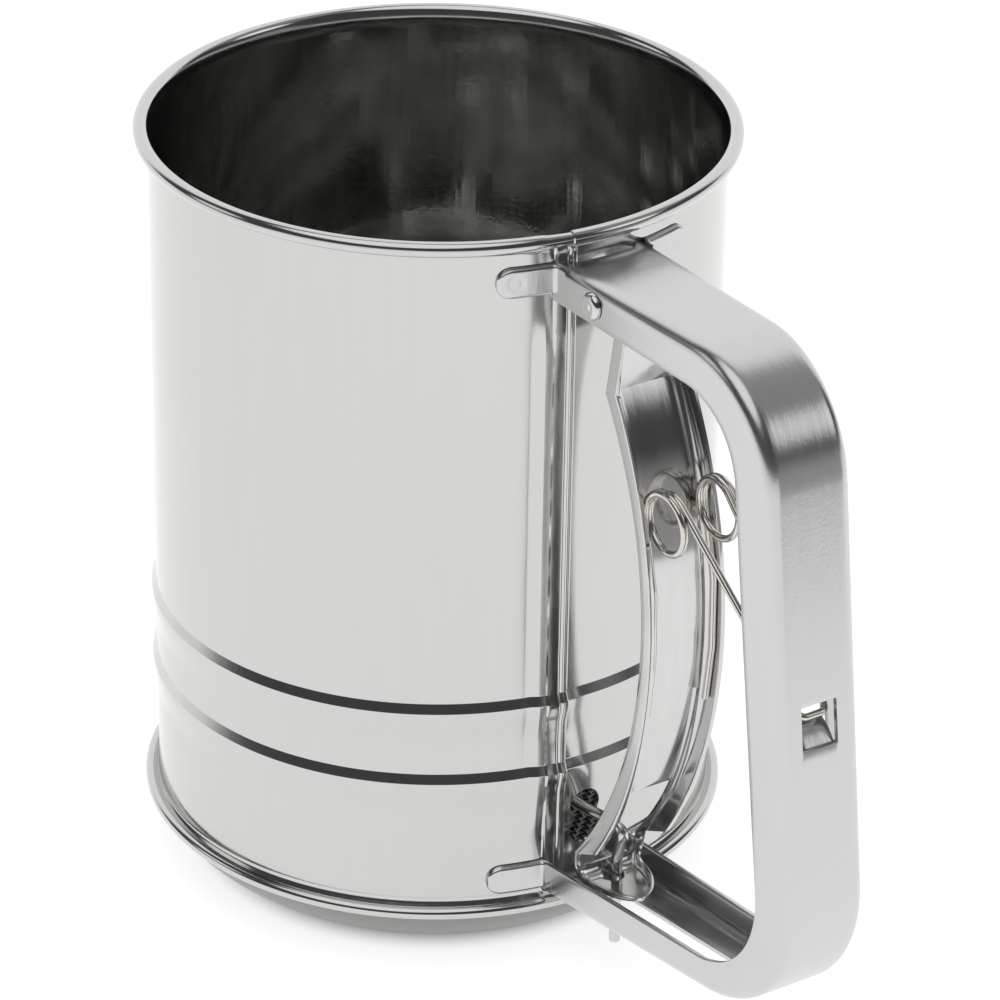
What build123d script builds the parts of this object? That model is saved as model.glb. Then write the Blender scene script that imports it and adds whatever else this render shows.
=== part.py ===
from build123d import *
import math
import os

# Squeeze-handle flour sifter. Millimetres. +Z is up, +X runs from the body axis to the handle.
# The origin is on the body axis, at the plane that the base ring stands on.

# Body: a rolled sheet cylinder with a lock seam, two beads, a curled rim and a bottom flange.
BODY_R = 50.0
SHEET = 0.6
BODY_INNER_R = BODY_R - SHEET
RIM_Z = 139.15
RIM_CURL_R = 1.35
RIM_CENTRE_R = 51.1
FLANGE_Z = 11.7
FLANGE_CURL_R = 1.1
FLANGE_CENTRE_R = 51.4
BEAD_HEIGHTS = (48.6, 34.6)
BEAD_HALF_WIDTH = 4.5
BEAD_RISE = 0.7
SEAM_ANGLE = -8.0
SEAM_WIDTH = 4.0
SEAM_RISE = 0.7
SEAM_BOTTOM_Z = FLANGE_Z + 1.0
SEAM_TOP_Z = RIM_Z - 0.8
WIRE_HOLE_LOBE_R = 3.0
WIRE_HOLE_LOBE_OFFSET = 2.3
WIRE_HOLE_Y = -0.6

# Base ring: a collar inside the body, a shoulder under the flange and a bowl that curves in.
COLLAR_R = BODY_INNER_R - 0.05
COLLAR_TOP_Z = 17.0
SHOULDER_R = 51.0
SHOULDER_Z = 10.2
STAND_R = 39.4
LIP_R = 38.2
LIP_TOP_Z = 2.6
BOWL_BULGE = 1.2

# Screen, its hoop and the strap below it.
SCREEN_R = 42.2
SCREEN_THICK = 0.6
SCREEN_TOP_Z = LIP_TOP_Z + SCREEN_THICK
HOOP_CENTRE_R = 40.8
HOOP_WIRE_R = 0.75
STRAP_WIDTH = 9.0
STRAP_THICK = 0.8
STRAP_TOP_Z = LIP_TOP_Z - 0.1

# Agitator stack on its rivet.
RIVET_R = 1.5
RIVET_HEAD_R = 3.4
RIVET_HEAD_HEIGHT = 0.8
RUNNING_CLEARANCE = 0.06
WASHER_R = 4.2
WASHER_THICK = 0.6
BLADE_REACH = 39.0
BLADE_WIDTH = 9.0
BLADE_THICK = 0.8
BLADE_UPSTAND = 7.0
BLADE_HUB_CLEAR = 8.0
BLADE_Z = SCREEN_TOP_Z + 0.1 + WASHER_THICK
SLEEVE_R = 4.0
CRANK_THICK = 1.0
CRANK_Z = 23.5

# Drive wire: from the trigger foot, through the wall, to a pin in the crank slot.
WIRE_R = 1.0
WIRE_Z = 26.5
WIRE_BOTTOM_Z = 5.6
WIRE_HOOK = (61.6, 29.8)
WIRE_HOOK_LOW_Z = 22.4
TRAVEL = 31.2
CRANK_PIN_Y = 32.0
CRANK_PIN_X = -TRAVEL / 2
CRANK_REST_ANGLE = 26.4
CRANK_SLOT_R = WIRE_R + 0.65
CRANK_SLOT_START = 31.0
CRANK_SLOT_END = 36.6
CRANK_END_R = 40.0
CRANK_HALF_WIDTH = 4.2

# Handle: one channel of sheet, open to the inside of the D, with four ears on the body.
HANDLE_SHEET = 0.9
HANDLE_HALF_AT_BODY = 9.2
HANDLE_HALF_AT_GRIP = 8.2
GRIP_X = 104.0
HANDLE_OUTER = ((30.0, 134.2), (106.7, 136.6), (121.3, 21.7), (30.0, 10.6))
HANDLE_OUTER_RADII = (22.0, 24.5)
HANDLE_EDGE = ((20.0, 128.0), (98.2, 128.3), (112.6, 26.7), (20.0, 16.2))
HANDLE_EDGE_RADII = (14.5, 18.0)
EAR_HALF_HEIGHT = 2.8
EAR_Y = 18.9
TOP_EAR_Z = 132.1
BOTTOM_EAR_Z = 17.0
EAR_THICK = 0.9
FIT_GAP = 0.05
PIN_SLOT = (57.4, 92.6)
PIN_SLOT_HALF_WIDTH = 1.5
WINDOW_Z = (72.8, 80.6)
WINDOW_HALF_WIDTH = 3.5
PLATE_HOLLOW_R = 51.4
PLATE_HOLLOW_Z = 134.2

# Trigger: a channel pressed to an arc, with a flat top that hangs on the pivot rivet.
PIVOT_X = 60.5
PIVOT_Z = 131.5
TRIGGER_HALF = 7.1
TRIGGER_SHEET = 0.8
TRIGGER_DEPTH = 4.2
BOW_X = -5.3
BOW_Z = 74.0
BOW_R = 79.7
BEND_Z = 115.8
PLATE_TOP = (63.9, 129.2)
WEB_END_Z = 42.5
WALL_END_Z = 25.0
PIVOT_LOBE_R = 2.6
FOOT_PIN_X = 59.3
FOOT_HOLE_R = 1.5
FOOT_BACK_X = 56.9
FOOT_Z = 18.2
FOOT_RIM_Z = 20.0
FOOT_TIP = (64.2, 4.2)
NECK_X = 60.4

# Return spring: two coils of spring wire, joined by a long loop that hooks on the grip's tab.
SPRING_WIRE_R = 0.65
COIL_X = 77.8
COIL_Z = 98.2
COIL_OUTER_R = 5.9
COIL_LENGTH = 4.0
COIL_Y = 4.1
COIL_SKIN = 0.15
HOOK_POINT = (112.5, 77.8)
LEG_END = (75.6, 60.0)

PIVOT_HEAD_R = 2.4
PIVOT_HEAD_HEIGHT = 1.1
TALL = 200.0


def side_face(points, radii=()):
    """A face in the X-Z plane from corner points. The radii round the corners after the first."""
    corners = [(x, z) for x, z in points]
    if radii:
        line = FilletPolyline(*corners, radius=list(radii))
        return Plane.XZ * make_face([line, Line(corners[-1], corners[0])])
    return Plane.XZ * make_face(Polyline(*corners, close=True))


def both_ways(face, half_width):
    """The face in the X-Z plane, extruded to both sides of the middle plane."""
    return extrude(face, half_width, both=True)


def slab(low, high):
    """A box from its lowest corner to its highest."""
    sizes = [b - a for a, b in zip(low, high)]
    return Pos(*low) * Box(*sizes, align=(Align.MIN, Align.MIN, Align.MIN))


def disc(radius, low_z, high_z):
    """A round plate or pin about the body axis."""
    return Pos(0, 0, low_z) * Cylinder(radius, high_z - low_z, align=(Align.CENTER, Align.CENTER, Align.MIN))


def tube(outer_r, inner_r, low_z, high_z):
    """A hollow round about the body axis."""
    return disc(outer_r, low_z, high_z) - disc(inner_r, low_z - 1, high_z + 1)


def bead_ring(base_r, middle_z):
    """The ring between the wall radius and a shallow arc that stands proud of it."""
    low = (base_r, middle_z - BEAD_HALF_WIDTH)
    high = (base_r, middle_z + BEAD_HALF_WIDTH)
    arc = ThreePointArc(low, (base_r + BEAD_RISE, middle_z), high)
    inside = Polyline(high, (base_r - SHEET / 2, high[1]), (base_r - SHEET / 2, low[1]), low)
    return revolve(Plane.XZ * make_face([arc, inside]), Axis.Z)


def body_shell():
    """The cylinder with its curls, beads, lock seam and the hole that the drive wire uses."""
    shell = tube(BODY_R, BODY_INNER_R, FLANGE_Z, RIM_Z)
    for z, centre_r, curl_r in ((RIM_Z, RIM_CENTRE_R, RIM_CURL_R), (FLANGE_Z, FLANGE_CENTRE_R, FLANGE_CURL_R)):
        shell += tube(centre_r, BODY_INNER_R, z - SHEET / 2, z + SHEET / 2)
        shell += Pos(0, 0, z) * Torus(centre_r, curl_r)
    for z in BEAD_HEIGHTS:
        shell += bead_ring(BODY_R, z)
        shell -= bead_ring(BODY_INNER_R, z)
    seam = slab((BODY_INNER_R, -SEAM_WIDTH / 2, SEAM_BOTTOM_Z), (TALL, SEAM_WIDTH / 2, SEAM_TOP_Z))
    seam &= tube(BODY_R + SEAM_RISE, BODY_R - SHEET / 2, SEAM_BOTTOM_Z, SEAM_TOP_Z)
    shell += Rot(0, 0, SEAM_ANGLE) * seam
    for step in (-1, 1):
        lobe_z = WIRE_Z + step * WIRE_HOLE_LOBE_OFFSET
        shell -= Pos(BODY_R, WIRE_HOLE_Y, lobe_z) * Rot(0, 90, 0) * Cylinder(WIRE_HOLE_LOBE_R, 8)
    return shell


def bowl_line(shrink):
    """The bowl's outer arc, or its inner one when shrunk by the sheet."""
    top = Vector(SHOULDER_R - shrink, SHOULDER_Z - shrink)
    low = Vector(STAND_R - shrink * 0.4, shrink)
    chord = low - top
    outward = Vector(-chord.Y, chord.X).normalized()
    return ThreePointArc(top, (top + low) / 2 + outward * BOWL_BULGE, low)


def base_ring():
    """Collar, shoulder, bowl, flat standing face and the upturned lip that the screen lies on."""
    outer = bowl_line(0)
    inner = bowl_line(SHEET)
    section = make_face([
        outer,
        Polyline(outer @ 1, (LIP_R, 0), (LIP_R, LIP_TOP_Z), (LIP_R + SHEET, LIP_TOP_Z), (LIP_R + SHEET, SHEET), inner @ 1),
        inner,
        Polyline(inner @ 0, (COLLAR_R - SHEET, SHOULDER_Z - SHEET), (COLLAR_R - SHEET, COLLAR_TOP_Z),
                 (COLLAR_R, COLLAR_TOP_Z), (COLLAR_R, SHOULDER_Z), outer @ 0),
    ])
    return revolve(Plane.XZ * section, Axis.Z)


def screen_mesh():
    """The woven screen as a thin disc, with the rivet's hole."""
    return tube(SCREEN_R, RIVET_R + RUNNING_CLEARANCE, LIP_TOP_Z, SCREEN_TOP_Z)


def screen_hoop():
    """The wire hoop that holds the screen down on the lip."""
    return Pos(0, 0, SCREEN_TOP_Z + HOOP_WIRE_R) * Torus(HOOP_CENTRE_R, HOOP_WIRE_R)


def support_strap():
    """The flat strap under the screen that carries the rivet."""
    low_z = STRAP_TOP_Z - STRAP_THICK
    strap = slab((-LIP_R, -STRAP_WIDTH / 2, low_z), (LIP_R, STRAP_WIDTH / 2, STRAP_TOP_Z))
    strap &= disc(LIP_R - FIT_GAP, 0, LIP_TOP_Z)
    return strap - disc(RIVET_R + 0.02, 0, LIP_TOP_Z)


def agitator_rivet():
    """The rivet that the agitator turns on, headed under the strap and over the crank."""
    low_z = STRAP_TOP_Z - STRAP_THICK
    high_z = CRANK_Z + CRANK_THICK + 0.1 + WASHER_THICK + 0.1
    pin = disc(RIVET_R, low_z - RIVET_HEAD_HEIGHT, high_z + RIVET_HEAD_HEIGHT)
    pin += disc(RIVET_HEAD_R, low_z - RIVET_HEAD_HEIGHT, low_z)
    return pin + disc(RIVET_HEAD_R, high_z, high_z + RIVET_HEAD_HEIGHT)


def washer(low_z):
    """A flat washer on the rivet."""
    return tube(WASHER_R, RIVET_R + RUNNING_CLEARANCE, low_z, low_z + WASHER_THICK)


def agitator_blade(low_z, angle):
    """A flat strip whose two halves each have one long edge turned up, on opposite sides."""
    high_z = low_z + BLADE_THICK
    half = BLADE_WIDTH / 2
    blade = slab((-BLADE_REACH, -half, low_z), (BLADE_REACH, half, high_z))
    for turn in (0, 180):
        edge = slab((BLADE_HUB_CLEAR, half - BLADE_THICK, low_z), (BLADE_REACH, half, low_z + BLADE_UPSTAND))
        blade += Rot(0, 0, turn) * edge
    blade &= disc(BLADE_REACH, 0, TALL)
    blade -= disc(RIVET_R + RUNNING_CLEARANCE, 0, TALL)
    return Rot(0, 0, angle) * blade


def hub_sleeve():
    """The sleeve that ties the blades to the crank."""
    return tube(SLEEVE_R, RIVET_R + RUNNING_CLEARANCE, BLADE_Z + 2 * BLADE_THICK, CRANK_Z)


def crank_arm():
    """The slotted arm that the drive wire swings."""
    arm = slab((-CRANK_HALF_WIDTH, 0, CRANK_Z), (CRANK_HALF_WIDTH, CRANK_END_R, CRANK_Z + CRANK_THICK))
    arm &= disc(CRANK_END_R, 0, TALL)
    arm += disc(SLEEVE_R + 2, CRANK_Z, CRANK_Z + CRANK_THICK)
    middle = (CRANK_SLOT_START + CRANK_SLOT_END) / 2
    length = CRANK_SLOT_END - CRANK_SLOT_START
    slot = Pos(0, middle, CRANK_Z - 1) * extrude(Rot(0, 0, 90) * SlotCenterToCenter(length, 2 * CRANK_SLOT_R), 4)
    arm -= slot
    arm -= disc(RIVET_R + RUNNING_CLEARANCE, 0, TALL)
    return Rot(0, 0, CRANK_REST_ANGLE) * arm


def drive_wire():
    """One bent wire: foot pin, hook, straight run through the wall, side run and crank pin."""
    route = FilletPolyline(
        (FOOT_PIN_X, 0, WIRE_BOTTOM_Z),
        (FOOT_PIN_X, 0, WIRE_HOOK_LOW_Z),
        (WIRE_HOOK[0], 0, WIRE_HOOK[1]),
        (48, 0, WIRE_Z + 0.7),
        (18, 0, WIRE_Z),
        (CRANK_PIN_X, CRANK_PIN_Y, WIRE_Z),
        (CRANK_PIN_X, CRANK_PIN_Y, CRANK_Z - 2.5),
        radius=[3, 1.7, 25, 6, 2.5],
    )
    start = Plane(origin=route @ 0, z_dir=route % 0)
    return sweep(start * Circle(WIRE_R), path=route)


def handle_plan(shrink):
    """The handle's width seen from above: it narrows from the body to the grip."""
    wide = HANDLE_HALF_AT_BODY - shrink
    narrow = HANDLE_HALF_AT_GRIP - shrink
    plan = Polyline(
        (BODY_R, -wide), (GRIP_X, -narrow), (TALL, -narrow), (TALL, narrow), (GRIP_X, narrow), (BODY_R, wide),
        (0, wide), (0, -wide), close=True,
    )
    return extrude(make_face(plan), TALL)


def handle_channel():
    """The bare channel: web outside, two side walls, open to the inside of the D."""
    full = side_face(HANDLE_OUTER, HANDLE_OUTER_RADII)
    opening = side_face(HANDLE_EDGE, HANDLE_EDGE_RADII)
    core = offset(full, -HANDLE_SHEET)
    block = both_ways(full - opening, 2 * HANDLE_HALF_AT_BODY) & handle_plan(0)
    return block - (both_ways(core, 2 * HANDLE_HALF_AT_BODY) & handle_plan(HANDLE_SHEET))


def ear(side, middle_z):
    """A tab folded off the side wall, lying along the body, with a round end."""
    low_y = HANDLE_HALF_AT_BODY - HANDLE_SHEET
    strip = slab((0, low_y, middle_z - EAR_HALF_HEIGHT), (TALL, EAR_Y - EAR_HALF_HEIGHT, middle_z + EAR_HALF_HEIGHT))
    tip = Pos(BODY_R, EAR_Y - EAR_HALF_HEIGHT, middle_z) * Rot(0, 90, 0) * Cylinder(EAR_HALF_HEIGHT, TALL / 4)
    shape = (strip + tip) & tube(BODY_R + FIT_GAP + EAR_THICK, BODY_R + FIT_GAP, 0, TALL)
    return shape if side > 0 else mirror(shape, Plane.XZ)


def spring_tab():
    """The tab pushed in from the window's lower edge, which the spring hooks on."""
    low_z = WINDOW_Z[0]
    outer_x = 114.8
    points = (
        (outer_x - 1.2, low_z - 0.5), (outer_x, low_z - 0.5), (outer_x - 4.2, low_z + 3.4), (outer_x - 4.9, low_z + 2.8),
    )
    return both_ways(side_face(points), WINDOW_HALF_WIDTH - 0.3)


def handle():
    """Channel, ears, pin slot, window with its tab, and rivet holes."""
    part = handle_channel()
    for side in (-1, 1):
        for z in (TOP_EAR_Z, BOTTOM_EAR_Z):
            part += ear(side, z)
    part -= disc(BODY_R + FIT_GAP, 0, TALL)
    seam_room = slab((0, -SEAM_WIDTH / 2 - 0.2, 0), (BODY_R + SEAM_RISE + FIT_GAP, SEAM_WIDTH / 2 + 0.2, TALL))
    part -= Rot(0, 0, SEAM_ANGLE) * seam_room
    part -= disc(PLATE_HOLLOW_R, PLATE_HOLLOW_Z, TALL) & slab((0, -7, 0), (TALL, 7, TALL))
    middle = sum(PIN_SLOT) / 2
    slot = SlotOverall(PIN_SLOT[1] - PIN_SLOT[0], 2 * PIN_SLOT_HALF_WIDTH)
    part -= Pos(middle, 0, 8) * extrude(slot, 22)
    part -= slab((GRIP_X, -WINDOW_HALF_WIDTH, WINDOW_Z[0]), (TALL, WINDOW_HALF_WIDTH, WINDOW_Z[1]))
    part += spring_tab()
    part -= Pos(PIVOT_X, 0, PIVOT_Z) * Rot(90, 0, 0) * Cylinder(RIVET_R + 0.02, TALL)
    return part


def bow_x(radius, z):
    """Where the trigger's arc of this radius is at a height."""
    return BOW_X + math.sqrt(radius**2 - (z - BOW_Z) ** 2)


def bow_band(inner_r, outer_r, high_z, low_z):
    """The region between two arcs about the bow's centre, in the X-Z plane."""
    points = {}
    for name, radius in (("in", inner_r), ("out", outer_r)):
        for end, z in (("high", high_z), ("low", low_z)):
            points[name, end] = (bow_x(radius, z), z)
    inner = ThreePointArc(points["in", "high"], (BOW_X + inner_r, BOW_Z), points["in", "low"])
    outer = ThreePointArc(points["out", "high"], (BOW_X + outer_r, BOW_Z), points["out", "low"])
    ends = [Line(inner @ 0, outer @ 0), Line(inner @ 1, outer @ 1)]
    return Plane.XZ * make_face([inner, outer, *ends])


def trigger_wall():
    """The outline of a side wall: lobe at the pivot, bow, and the foot's side."""
    bend_x = bow_x(BOW_R, BEND_Z)
    outline = bow_band(BOW_R, BOW_R + TRIGGER_DEPTH, BEND_Z, WALL_END_Z)
    neck_x = bow_x(BOW_R + TRIGGER_DEPTH, BEND_Z)
    top_x, top_z = PLATE_TOP
    outline += side_face((
        (bend_x, BEND_Z), (top_x - 0.2, top_z - 2.6), (PIVOT_X - 1.6, PIVOT_Z - 2.0), (PIVOT_X + 1.9, PIVOT_Z + 1.6),
        (top_x + 3.9, top_z - 1.6), (neck_x, BEND_Z),
    ))
    outline += Plane.XZ * Pos(PIVOT_X, PIVOT_Z) * Circle(PIVOT_LOBE_R)
    low_in = bow_x(BOW_R, WALL_END_Z)
    outline += side_face((
        (low_in, WALL_END_Z), (FOOT_BACK_X, FOOT_Z), (NECK_X, FOOT_Z), (NECK_X, FOOT_RIM_Z),
        (NECK_X - 1.2, FOOT_RIM_Z + 1.2), (low_in + 2, WALL_END_Z),
    ))
    return outline


def foot_plan(shrink):
    """The foot from above: it narrows from the neck to a round tip."""
    tip_x, tip_r = FOOT_TIP
    back = TRIGGER_HALF - shrink
    tip = tip_r - shrink
    sides = Polyline((FOOT_BACK_X, -back), (tip_x, -tip), (tip_x, tip), (FOOT_BACK_X, back), close=True)
    return make_face(sides) + Pos(tip_x, 0) * Circle(tip)


def trigger_foot():
    """The foot's plate with its upturned rim and the pin's hole."""
    plate = Pos(0, 0, FOOT_Z) * extrude(foot_plan(0), TRIGGER_SHEET)
    rim = Pos(0, 0, FOOT_Z) * extrude(foot_plan(0) - foot_plan(TRIGGER_SHEET), FOOT_RIM_Z - FOOT_Z)
    foot = plate + (rim & slab((NECK_X - 1, -TALL, 0), (TALL, TALL, TALL)))
    return foot - Pos(FOOT_PIN_X, 0, FOOT_Z) * Cylinder(FOOT_HOLE_R, 4)


def trigger_lever():
    """Two side walls, the bowed web, the flat top and the foot."""
    wall = both_ways(trigger_wall(), TRIGGER_HALF)
    wall -= both_ways(trigger_wall(), TRIGGER_HALF - TRIGGER_SHEET)
    web = both_ways(bow_band(BOW_R, BOW_R + TRIGGER_SHEET, BEND_Z, WEB_END_Z), TRIGGER_HALF)
    bend_x = bow_x(BOW_R, BEND_Z)
    top_x, top_z = PLATE_TOP
    plate = side_face((
        (bend_x, BEND_Z), (top_x, top_z), (top_x + TRIGGER_SHEET, top_z),
        (bow_x(BOW_R + TRIGGER_SHEET, BEND_Z), BEND_Z),
    ))
    lever = wall + web + both_ways(plate, TRIGGER_HALF) + trigger_foot()
    return lever - Pos(PIVOT_X, 0, PIVOT_Z) * Rot(90, 0, 0) * Cylinder(RIVET_R + RUNNING_CLEARANCE, TALL)


def trigger_rivet():
    """The cross rivet with a low domed head on each side of the handle."""
    reach = HANDLE_HALF_AT_BODY - (HANDLE_HALF_AT_BODY - HANDLE_HALF_AT_GRIP) * (PIVOT_X - BODY_R) / (GRIP_X - BODY_R)
    reach += FIT_GAP + 0.03
    pin = Pos(PIVOT_X, 0, PIVOT_Z) * Rot(90, 0, 0) * Cylinder(RIVET_R, 2 * reach)
    dome_r = (PIVOT_HEAD_R**2 + PIVOT_HEAD_HEIGHT**2) / (2 * PIVOT_HEAD_HEIGHT)
    for side in (-1, 1):
        ball = Pos(PIVOT_X, side * (reach + PIVOT_HEAD_HEIGHT - dome_r), PIVOT_Z) * Sphere(dome_r)
        near = side * reach
        far = side * (reach + 2 * PIVOT_HEAD_HEIGHT)
        pin += ball & slab((0, min(near, far), 0), (TALL, max(near, far), TALL))
    return pin


def straight_wire(start, end, radius):
    """A round wire between two points, with ball ends that join it to its neighbours."""
    line = Line(start, end)
    rod = sweep(Plane(origin=line @ 0, z_dir=line % 0) * Circle(radius), path=line)
    return rod + Pos(*start) * Sphere(radius) + Pos(*end) * Sphere(radius)


def return_spring():
    """Both coils as tubes, the long loop to the grip's tab and the two short legs."""
    middle_r = COIL_OUTER_R - SPRING_WIRE_R
    spring = None
    for side in (-1, 1):
        coil = Cylinder(middle_r + SPRING_WIRE_R + COIL_SKIN, COIL_LENGTH)
        coil -= Cylinder(middle_r - SPRING_WIRE_R - COIL_SKIN, COIL_LENGTH)
        coil = Pos(COIL_X, side * COIL_Y, COIL_Z) * Rot(90, 0, 0) * coil
        spring = coil if spring is None else spring + coil
        inner_y = side * (COIL_Y - COIL_LENGTH / 2 + SPRING_WIRE_R + COIL_SKIN)
        outer_y = side * (COIL_Y + COIL_LENGTH / 2 - SPRING_WIRE_R - COIL_SKIN)
        top = (COIL_X + middle_r * 0.6, inner_y, COIL_Z + middle_r * 0.8)
        hook = (HOOK_POINT[0], inner_y, HOOK_POINT[1])
        spring += straight_wire(top, hook, SPRING_WIRE_R)
        spring += straight_wire((COIL_X - middle_r * 0.1, outer_y, COIL_Z - middle_r), (LEG_END[0], outer_y, LEG_END[1]),
                                SPRING_WIRE_R)
    reach = COIL_Y - COIL_LENGTH / 2 + SPRING_WIRE_R + COIL_SKIN
    return spring + straight_wire((HOOK_POINT[0], -reach, HOOK_POINT[1]), (HOOK_POINT[0], reach, HOOK_POINT[1]),
                                  SPRING_WIRE_R)


PARTS = {
    "body_shell": body_shell,
    "base_ring": base_ring,
    "screen_mesh": screen_mesh,
    "screen_hoop": screen_hoop,
    "support_strap": support_strap,
    "agitator_rivet": agitator_rivet,
    "lower_washer": lambda: washer(SCREEN_TOP_Z + 0.05),
    "upper_washer": lambda: washer(CRANK_Z + CRANK_THICK + 0.1),
    "agitator_blade_lower": lambda: agitator_blade(BLADE_Z, 0),
    "agitator_blade_upper": lambda: agitator_blade(BLADE_Z + BLADE_THICK, 90),
    "hub_sleeve": hub_sleeve,
    "crank_arm": crank_arm,
    "drive_wire": drive_wire,
    "handle": handle,
    "trigger_lever": trigger_lever,
    "trigger_rivet": trigger_rivet,
    "return_spring": return_spring,
}

os.makedirs("parts", exist_ok=True)
for node, make in PARTS.items():
    export_step(make(), f"parts/{node}.step")
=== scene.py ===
import math

import bmesh
import bpy
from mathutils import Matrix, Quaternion, Vector


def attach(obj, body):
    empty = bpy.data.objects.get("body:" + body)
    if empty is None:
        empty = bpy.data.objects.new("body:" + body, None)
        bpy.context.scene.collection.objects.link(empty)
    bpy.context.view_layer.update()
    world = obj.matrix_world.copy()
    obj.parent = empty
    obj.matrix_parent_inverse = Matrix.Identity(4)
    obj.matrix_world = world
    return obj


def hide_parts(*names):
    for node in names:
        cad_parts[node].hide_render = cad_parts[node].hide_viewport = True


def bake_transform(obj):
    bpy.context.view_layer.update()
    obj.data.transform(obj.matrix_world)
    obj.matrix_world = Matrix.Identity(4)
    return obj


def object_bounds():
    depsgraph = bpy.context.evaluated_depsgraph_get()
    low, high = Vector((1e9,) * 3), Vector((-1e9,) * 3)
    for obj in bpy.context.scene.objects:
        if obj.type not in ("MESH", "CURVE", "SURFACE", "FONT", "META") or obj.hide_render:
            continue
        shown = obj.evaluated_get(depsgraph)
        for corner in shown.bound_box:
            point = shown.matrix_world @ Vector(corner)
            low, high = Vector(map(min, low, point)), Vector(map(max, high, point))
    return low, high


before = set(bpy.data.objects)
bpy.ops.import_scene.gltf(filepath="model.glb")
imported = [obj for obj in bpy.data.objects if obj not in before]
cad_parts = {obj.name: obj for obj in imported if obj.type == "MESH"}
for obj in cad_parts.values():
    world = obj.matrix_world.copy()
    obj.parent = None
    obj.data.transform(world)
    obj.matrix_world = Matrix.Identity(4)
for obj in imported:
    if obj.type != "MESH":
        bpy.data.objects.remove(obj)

CAD_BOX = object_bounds()
MM = 0.001

# Body sheet, in millimetres, as in the CAD model. The seam's and the flatter sheet's rise are measured from
# the round body.
BODY_R = 50.0
SHEET = 0.6
INNER_R = BODY_R - SHEET
RIM_Z = 139.15
RIM_CURL_R = 1.35
RIM_CENTRE_R = 51.1
FLANGE_Z = 11.7
FLANGE_CURL_R = 1.1
FLANGE_CENTRE_R = 51.4
BEADS = (48.6, 34.6)
BEAD_HALF = 4.5
BEAD_RISE = 0.75
BEAD_SLOPE = 1.75
SEAM_ANGLE = math.radians(-8.0)
SEAM_WIDTH = 4.0
SEAM_RISE = 0.64
SEAM_SLOPE = 0.062
FLAT_RISE = 0.52
FLAT_WIDTH = 9.5
LAP_END = 0.4
LAP_LENGTH = 10.4
LAP_STEP = 0.3
HOLE_LOBES = ((-0.6, 28.8), (-0.6, 24.2))
HOLE_R = 3.0

# Base ring, screen and hoop.
BOWL_TOP = (51.0, 10.2)
BOWL_LOW = (39.4, 0.0)
BOWL_BULGE = 1.2
SCREEN_PITCH = 1.4
SCREEN_WIRE_R = 0.25
SCREEN_R = 41.6
SCREEN_Z = 2.9
HOOP_R = 40.8
HOOP_Z = 3.95
HOOP_WIRE_R = 0.74

# Handle channel: corners of its outer line and of its walls' free edge, side view.
HANDLE_OUTER = ((30.0, 134.2), (106.7, 136.6), (121.3, 21.7), (30.0, 10.6))
HANDLE_EDGE = ((20.0, 128.0), (98.2, 128.3), (112.6, 26.7), (20.0, 16.2))
HANDLE_OUTER_RADII = (22.0, 24.5)
HANDLE_EDGE_RADII = (14.5, 18.0)
HANDLE_SHEET = 0.9
HALF_AT_BODY = 9.2
HALF_AT_GRIP = 8.2
GRIP_X = 104.0
FIT_GAP = 0.05
HANDLE_FOLD_R = 2.3
TOP_HOLLOW = 1.4
BOTTOM_HOLLOW = 0.75
EAR_HALF = 2.8
EAR_Y = 18.9
EAR_HEIGHTS = (132.1, 17.0)
EAR_ROOT_X = (52.6, 51.15)
WELD_FROM_TIP = 3.3
WELD_RAISED = 0.1
SLOT_X = (57.4, 92.6)
SLOT_HALF = 1.5
WINDOW_Z = (72.8, 80.6)
WINDOW_HALF = 3.5
TAB_X = 114.35
TAB_REACH = 4.1
TAB_LIFT = 3.7

# A channel's folds up to this radius have a softer inner side, by this much.
TIGHT_FOLD_R = 2.31
INNER_EASE = 0.7

# Trigger lever and its cross rivet.
PIVOT = (60.5, 131.5)
PIVOT_LOBE_R = 2.6
LUG_ROOT = ((63.6, 126.9), (67.6, 127.6), (67.2, 128.6))
RIVET_R = 1.5
RIVET_HEAD_R = 2.4
RIVET_HEAD_RISE = 1.08
TRIGGER_HALF = 7.6
TRIGGER_SHEET = 0.8
TRIGGER_DEPTH = 4.2
TRIGGER_FOLD_R = 1.8
BOW = (-6.2, 74.0)
BOW_R = 79.7
BEND_Z = 115.8
BOW_LOW_Z = 24.3
PLATE_TOP = (63.9, 129.2)
PLATE_EDGE_STEP = (4.0, -1.2)
BEND_EDGE_RISE = 1.2
LOW_EDGE_RISE = 3.6
LOW_EDGE_OUT = 7.9
OPENING_HALF = 4.4
OPENING_Z = (23.2, 42.6)
FOOT_BACK = (55.6, 18.3)
FOOT_START = (60.4, 18.35)
FOOT_TIP_X = 68.25
FOOT_HALF = 6.05
FOOT_WIDEST_X = 57.9
FOOT_REACH = 10.4
FOOT_SIDESTEP = 0.7
FOOT_PIN_X = 59.3
FOOT_HOLE_X = 59.4
FOOT_HOLE_R = 1.9

# Drive wire, from its foot end to its end in the crank, and spring.
WIRE_R = 1.0
WIRE_ROUTE = ((FOOT_PIN_X, 0, 5.6), (FOOT_PIN_X, 0, 22.4), (61.6, 0, 29.8), (48.0, 0, 27.2), (16.2, 0, 26.5),
              (-15.6, 32.0, 26.5), (-15.6, 32.0, 21.0))
WIRE_BENDS = (3, 1.7, 30, 6, 2.5)
SPRING_WIRE_R = 0.65
COIL_X = 77.8
COIL_Z = 98.2
COIL_MIDDLE_R = 5.25
COIL_START = 52
COIL_SWEEP = 360 + 142
LOOP_X = 112.5
LOOP_Z = 77.8
LOOP_HALF = 2.6
SHORT_LEG = ((75.9, 84.0), (76.2, 71.0), (74.9, 60.5))
SHORT_LEG_BENDS = (12.0, 9.0)

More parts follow.
